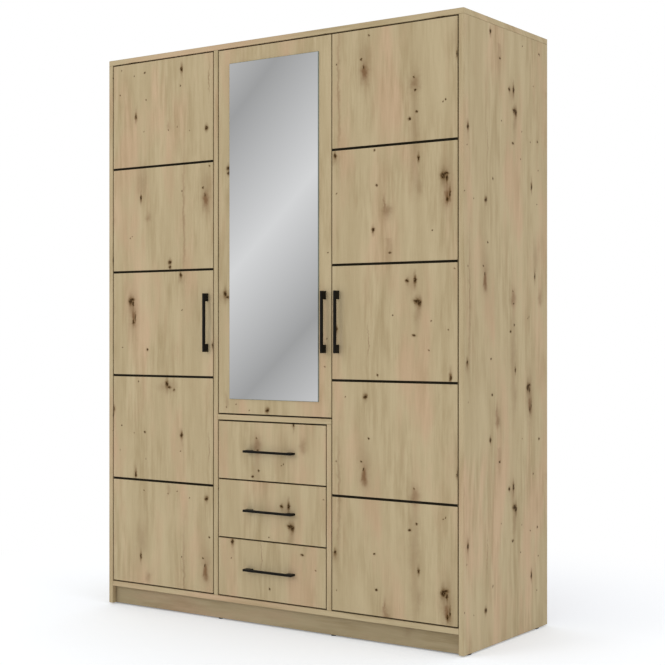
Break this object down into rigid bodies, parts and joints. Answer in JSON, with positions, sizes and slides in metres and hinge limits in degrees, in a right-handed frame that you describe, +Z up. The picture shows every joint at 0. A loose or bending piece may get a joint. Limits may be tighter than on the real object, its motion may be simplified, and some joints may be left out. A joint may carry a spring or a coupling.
{
  "type": "wardrobe",
  "caption": "Tall oak-look wardrobe with hinged doors, black inlaid strips, a mirror door above a bank of drawers, black bar handles, shelves and hanging rails.",
  "frame": {"origin": "on the floor, below the middle of the bounding box, handles included", "axes": "+Z up, -Y is the front with the doors and drawers, +X to the right seen from the front"},
  "size_m": [1.5, 0.605, 2.004],
  "materials": {
    "oak_decor": "artisan oak print on melamine, fine matt pore texture",
    "black_trim": "matt black strip",
    "handle_black": "matt black powder coat",
    "mirror_silver": "float glass mirror with polished edges",
    "back_hdf": "fibreboard with a pale painted inner face",
    "drawer_foil": "chipboard wrapped in light grey foil",
    "zinc_steel": "zinc and nickel plated steel",
    "glide_black": "black nail-on glide"
  },
  "bodies": {
    "carcass": {"left_side_panel": "oak_decor", "right_side_panel": "oak_decor", "top_panel": "oak_decor", "bottom_panel": "oak_decor", "plinth_board": "oak_decor", "rear_plinth_board": "oak_decor", "left_partition": "oak_decor", "right_partition_lower": "oak_decor", "right_partition_upper": "oak_decor", "drawer_shelf": "oak_decor", "back_board": "back_hdf", "left_hat_shelf": "oak_decor", "right_hat_shelf": "oak_decor", "centre_lower_shelf": "oak_decor", "centre_upper_shelf": "oak_decor", "left_hanging_rail": "zinc_steel", "right_hanging_rail": "zinc_steel", "left_front_glide": "glide_black", "left_rear_glide": "glide_black", "right_front_glide": "glide_black", "right_rear_glide": "glide_black", "left_door_lower_hinge_arm": "zinc_steel", "left_door_middle_hinge_arm": "zinc_steel", "left_door_upper_hinge_arm": "zinc_steel", "mirror_door_lower_hinge_arm": "zinc_steel", "mirror_door_middle_hinge_arm": "zinc_steel", "mirror_door_upper_hinge_arm": "zinc_steel", "right_door_lower_hinge_arm": "zinc_steel", "right_door_middle_hinge_arm": "zinc_steel", "right_door_upper_hinge_arm": "zinc_steel", "bottom_drawer_left_runner": "zinc_steel", "bottom_drawer_right_runner": "zinc_steel", "middle_drawer_left_runner": "zinc_steel", "middle_drawer_right_runner": "zinc_steel", "top_drawer_left_runner": "zinc_steel", "top_drawer_right_runner": "zinc_steel"},
    "left_leaf": {"left_door": "oak_decor", "left_door_handle": "handle_black", "left_door_strip_1": "black_trim", "left_door_strip_2": "black_trim", "left_door_strip_3": "black_trim", "left_door_strip_4": "black_trim"},
    "mirror_leaf": {"mirror_door": "oak_decor", "mirror_glass": "mirror_silver", "mirror_door_handle": "handle_black"},
    "right_leaf": {"right_door": "oak_decor", "right_door_handle": "handle_black", "right_door_strip_1": "black_trim", "right_door_strip_2": "black_trim", "right_door_strip_3": "black_trim", "right_door_strip_4": "black_trim"},
    "bottom_drawer": {"bottom_drawer_front": "oak_decor", "bottom_drawer_box": "drawer_foil", "bottom_drawer_handle": "handle_black"},
    "middle_drawer": {"middle_drawer_front": "oak_decor", "middle_drawer_box": "drawer_foil", "middle_drawer_handle": "handle_black"},
    "top_drawer": {"top_drawer_front": "oak_decor", "top_drawer_box": "drawer_foil", "top_drawer_handle": "handle_black"}
  },
  "joints": [
    {"name": "left_door_hinge", "type": "hinge", "parent": "carcass", "child": "left_leaf", "pos_m": [-0.71141, -0.2665, 1.036], "axis": [0, 0, -1], "range_deg": [0, 110]},
    {"name": "mirror_door_hinge", "type": "hinge", "parent": "carcass", "child": "mirror_leaf", "pos_m": [-0.20991, -0.2665, 1.3515], "axis": [0, 0, -1], "range_deg": [0, 110]},
    {"name": "right_door_hinge", "type": "hinge", "parent": "carcass", "child": "right_leaf", "pos_m": [0.71141, -0.2665, 1.036], "axis": [0, 0, 1], "range_deg": [0, 110]},
    {"name": "bottom_drawer_slide", "type": "slide", "parent": "carcass", "child": "bottom_drawer", "axis": [0, -1, 0], "range_m": [0, 0.34]},
    {"name": "middle_drawer_slide", "type": "slide", "parent": "carcass", "child": "middle_drawer", "axis": [0, -1, 0], "range_m": [0, 0.34]},
    {"name": "top_drawer_slide", "type": "slide", "parent": "carcass", "child": "top_drawer", "axis": [0, -1, 0], "range_m": [0, 0.34]}
  ]
}
